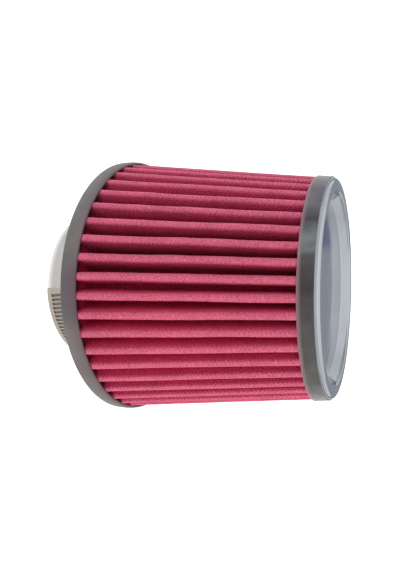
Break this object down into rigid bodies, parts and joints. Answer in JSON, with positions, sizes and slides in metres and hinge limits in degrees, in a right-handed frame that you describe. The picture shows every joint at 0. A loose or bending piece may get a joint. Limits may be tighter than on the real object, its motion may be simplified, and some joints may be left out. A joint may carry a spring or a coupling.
{
  "type": "cone air filter",
  "caption": "Cone-shaped intake air filter with a red pleated gauze element, moulded grey base and clamp neck, dark top ring, polished recessed end cap and a worm-drive hose clamp.",
  "frame": {"origin": "centre of the neck mouth, in the plane on which the filter can stand", "axes": "+Z along the filter axis from the neck mouth to the end cap; -Y towards the side that faces the viewer in the picture; +X towards the side that is lowest in the picture"},
  "size_m": [0.152, 0.152, 0.159],
  "materials": {
    "base_cap": "satin moulded urethane",
    "pleated_media": "oiled cotton gauze on coated wire",
    "support_core": "zinc-plated perforated sheet",
    "top_ring": "glossy moulded urethane",
    "end_cap": "bright plated",
    "clamp_band": "stainless strip",
    "clamp_housing": "pressed stainless sheet",
    "clamp_screw": "plated steel"
  },
  "bodies": {
    "filter": {"base_cap": "base_cap", "pleated_media": "pleated_media", "support_core": "support_core", "top_ring": "top_ring", "end_cap": "end_cap", "clamp_band": "clamp_band", "clamp_housing": "clamp_housing"},
    "worm_screw": {"clamp_screw": "clamp_screw"}
  },
  "joints": [
    {"name": "worm_turn", "type": "hinge", "parent": "filter", "child": "worm_screw", "pos_m": [0.04442, 0.02263, 0.00715], "axis": [-0.454, 0.891, 0], "range_deg": [-12510, 1170]}
  ]
}
